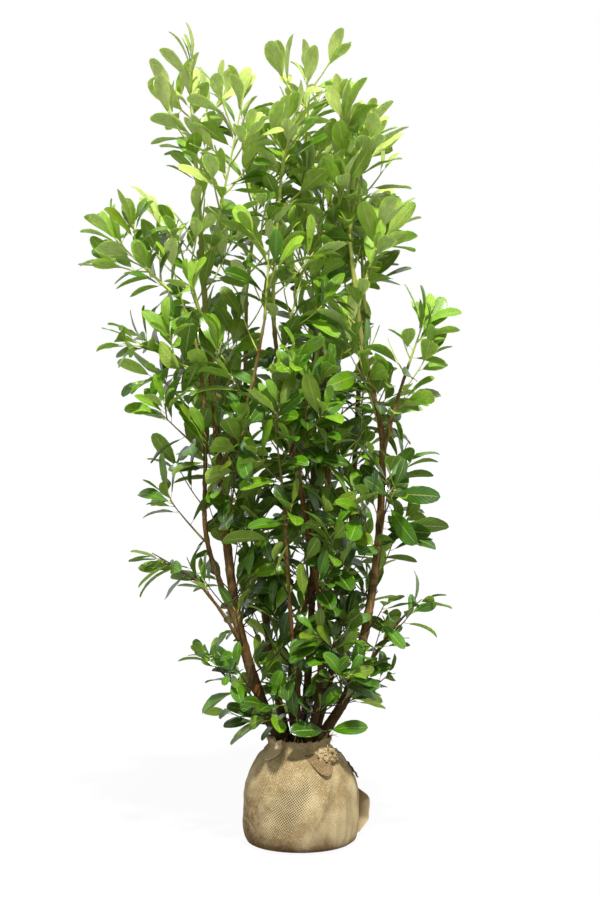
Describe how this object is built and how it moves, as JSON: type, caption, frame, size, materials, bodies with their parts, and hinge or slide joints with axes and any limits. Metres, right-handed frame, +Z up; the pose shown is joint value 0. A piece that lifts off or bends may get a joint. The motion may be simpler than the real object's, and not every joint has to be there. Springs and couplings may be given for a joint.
{
  "type": "root-balled evergreen shrub sapling",
  "caption": "Multi-stemmed cherry laurel sapling with glossy elliptic leaves and lime young shoots, standing on a root ball wrapped in burlap.",
  "frame": {"origin": "centre of the flat underside of the root ball", "axes": "+Z up along the stems, -Y towards the plant's front, +X to its right seen from the front"},
  "size_m": [1.0473, 0.7892, 2.2893],
  "materials": {
    "bark": "matte",
    "foliage": "satin",
    "young_foliage": "satin",
    "burlap": "matte",
    "soil": "matte"
  },
  "bodies": {
    "root": {"bough_left_inner": "bark", "bough_left_outer": "bark", "bough_low_left": "bark", "bough_low_right": "bark", "bough_right": "bark", "burlap_flap": "burlap", "burlap_knot": "burlap", "burlap_wrap": "burlap", "leaves_back_left_top": "young_foliage", "leaves_back_right_top": "young_foliage", "leaves_back_top": "young_foliage", "leaves_bottom_left_spray": "foliage", "leaves_centre_top": "young_foliage", "leaves_crown_centre": "foliage", "leaves_crown_inner": "young_foliage", "leaves_crown_left": "foliage", "leaves_crown_right": "foliage", "leaves_foot_back_left": "foliage", "leaves_foot_back_right": "foliage", "leaves_foot_front": "foliage", "leaves_foot_left": "foliage", "leaves_foot_right": "foliage", "leaves_front_left": "foliage", "leaves_front_top": "young_foliage", "leaves_high_back": "foliage", "leaves_high_back_left": "foliage", "leaves_high_back_right": "foliage", "leaves_high_centre": "foliage", "leaves_high_front": "foliage", "leaves_high_left": "foliage", "leaves_high_right": "foliage", "leaves_left_inner_top": "foliage", "leaves_left_top": "young_foliage", "leaves_low_back": "foliage", "leaves_low_back_left": "foliage", "leaves_low_back_right": "foliage", "leaves_low_centre": "foliage", "leaves_low_front": "foliage", "leaves_low_inner": "foliage", "leaves_low_left": "foliage", "leaves_low_left_spray": "foliage", "leaves_low_right": "foliage", "leaves_low_right_spray": "foliage", "leaves_mid_front": "foliage", "leaves_mid_inner": "foliage", "leaves_mid_left": "foliage", "leaves_right_spray": "foliage", "leaves_right_top": "young_foliage", "leaves_thin_top": "foliage", "leaves_top_right": "young_foliage", "leaves_upper_left_spray": "foliage", "soil": "soil", "stem_back": "bark", "stem_back_left": "bark", "stem_back_right": "bark", "stem_centre": "bark", "stem_front": "bark", "stem_left": "bark", "stem_right": "bark", "stem_thin": "bark"}
  },
  "joints": []
}
